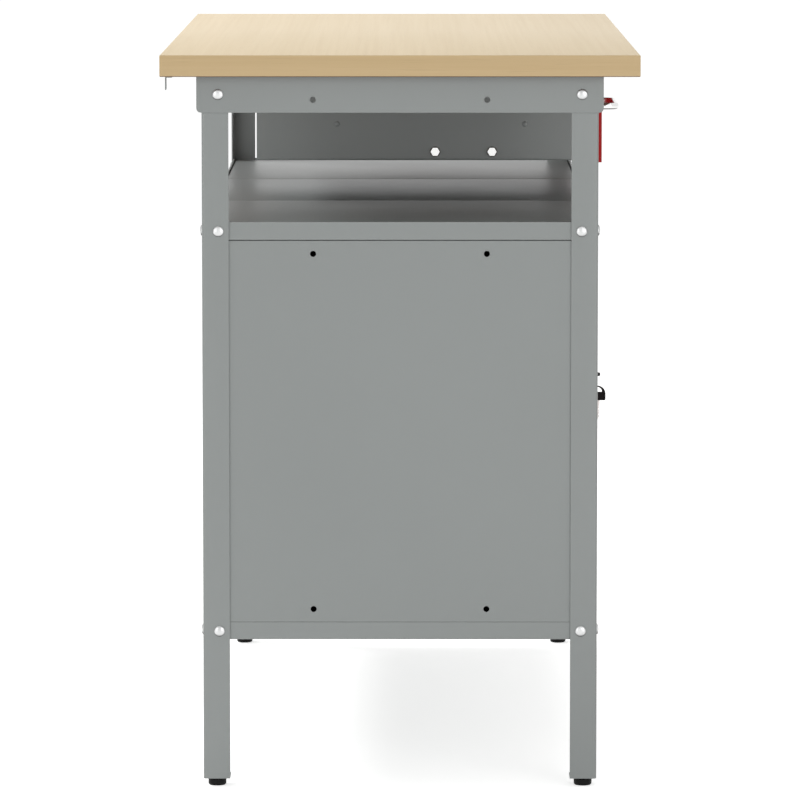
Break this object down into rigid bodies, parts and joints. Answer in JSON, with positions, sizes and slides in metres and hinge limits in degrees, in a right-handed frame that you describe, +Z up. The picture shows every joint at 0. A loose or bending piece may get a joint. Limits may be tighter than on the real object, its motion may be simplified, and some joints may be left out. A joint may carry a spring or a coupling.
{
  "type": "workbench with cabinet",
  "caption": "Steel workbench with a wood-look board top, an open shelf, a drawer on roller runners and a lockable cabinet with hinged doors under the shelf.",
  "frame": {"origin": "on the floor, under the middle of the bench", "axes": "+Z up, +X along the bench to the right as seen from the front, the drawer and doors face -Y"},
  "size_m": [1.2, 0.55, 0.85],
  "materials": {
    "board": "pale wood-look board, satin",
    "grey_paint": "grey powder coat, satin",
    "red_paint": "dark red powder coat, satin",
    "black_plastic": "moulded, matte",
    "white_nylon": "moulded, matte",
    "chrome": "polished",
    "zinc": "bright zinc plated"
  },
  "bodies": {
    "bench": {"worktop": "board", "leg_front_left": "grey_paint", "leg_front_right": "grey_paint", "leg_rear_right": "grey_paint", "leg_rear_left": "grey_paint", "foot_front_left": "black_plastic", "foot_front_right": "black_plastic", "foot_rear_right": "black_plastic", "foot_rear_left": "black_plastic", "end_apron_left": "grey_paint", "end_apron_right": "grey_paint", "upper_rail_left": "grey_paint", "upper_rail_right": "grey_paint", "upper_rail_front": "grey_paint", "upper_rail_rear": "grey_paint", "lower_rail_left": "grey_paint", "lower_rail_right": "grey_paint", "lower_rail_front": "grey_paint", "lower_rail_rear": "grey_paint", "end_panel_left": "grey_paint", "end_panel_right": "grey_paint", "back_panel": "grey_paint", "shelf_deck_left": "grey_paint", "shelf_deck_middle": "grey_paint", "shelf_deck_right": "grey_paint", "cabinet_floor_left": "grey_paint", "cabinet_floor_middle": "grey_paint", "cabinet_floor_right": "grey_paint", "pivot_pin_left_lower": "zinc", "pivot_pin_left_upper": "zinc", "pivot_pin_right_lower": "zinc", "pivot_pin_right_upper": "zinc", "door_stop": "grey_paint", "drawer_hanger_left": "grey_paint", "drawer_hanger_right": "grey_paint", "fixed_runner_left": "zinc", "fixed_runner_right": "zinc", "rear_tab_left": "grey_paint", "rear_tab_right": "grey_paint"},
    "drawer": {"drawer_box": "grey_paint", "drawer_front": "red_paint", "drawer_handle": "chrome", "drawer_runner_left": "zinc", "drawer_runner_right": "zinc"},
    "front_wheel_left": {"front_roller_left": "white_nylon"},
    "front_wheel_right": {"front_roller_right": "white_nylon"},
    "rear_wheel_left": {"rear_roller_left": "white_nylon"},
    "rear_wheel_right": {"rear_roller_right": "white_nylon"},
    "left_door": {"door_left": "red_paint", "bolt_guide": "zinc"},
    "bolt": {"shoot_bolt": "zinc"},
    "right_door": {"door_right": "red_paint", "lock_body": "chrome", "lock_nut": "zinc"},
    "lock": {"lock_plug": "zinc", "lock_cam": "zinc", "lock_key": "black_plastic"},
    "spare": {"key_ring": "chrome", "spare_key": "black_plastic"}
  },
  "joints": [
    {"name": "drawer_slide", "type": "slide", "parent": "bench", "child": "drawer", "axis": [0, -1, 0], "range_m": [0, 0.3]},
    {"name": "front_left_roll", "type": "hinge", "parent": "bench", "child": "front_wheel_left", "pos_m": [-0.1921, -0.215, 0.7175], "axis": [1, 0, 0], "range_deg": [0, 1910]},
    {"name": "front_right_roll", "type": "hinge", "parent": "bench", "child": "front_wheel_right", "pos_m": [0.1921, -0.215, 0.7175], "axis": [1, 0, 0], "range_deg": [0, 1910]},
    {"name": "rear_left_roll", "type": "hinge", "parent": "drawer", "child": "rear_wheel_left", "pos_m": [-0.1921, 0.1498, 0.7175], "axis": [1, 0, 0], "range_deg": [0, 1910]},
    {"name": "rear_right_roll", "type": "hinge", "parent": "drawer", "child": "rear_wheel_right", "pos_m": [0.1921, 0.1498, 0.7175], "axis": [1, 0, 0], "range_deg": [0, 1910]},
    {"name": "left_door_hinge", "type": "hinge", "parent": "bench", "child": "left_door", "pos_m": [-0.533, -0.2175, 0.414], "axis": [0, 0, -1], "range_deg": [0, 100]},
    {"name": "right_door_hinge", "type": "hinge", "parent": "bench", "child": "right_door", "pos_m": [0.533, -0.2175, 0.414], "axis": [0, 0, 1], "range_deg": [0, 100]},
    {"name": "bolt_shoot", "type": "slide", "parent": "left_door", "child": "bolt", "axis": [0, 0, 1], "range_m": [0, 0.01]},
    {"name": "lock_turn", "type": "hinge", "parent": "right_door", "child": "lock", "pos_m": [0.035, -0.22, 0.419], "axis": [0, 1, 0], "range_deg": [0, 90]},
    {"name": "spare_swing", "type": "hinge", "parent": "right_door", "child": "spare", "pos_m": [0.035, -0.24735, 0.419], "axis": [1, 0, 0], "range_deg": [-15, 10]}
  ],
  "couplings": [
    {"joint": "front_left_roll", "follows": "drawer_slide", "rad_per_m": 111.11},
    {"joint": "front_right_roll", "follows": "drawer_slide", "rad_per_m": 111.11},
    {"joint": "rear_left_roll", "follows": "drawer_slide", "rad_per_m": 111.11},
    {"joint": "rear_right_roll", "follows": "drawer_slide", "rad_per_m": 111.11}
  ]
}
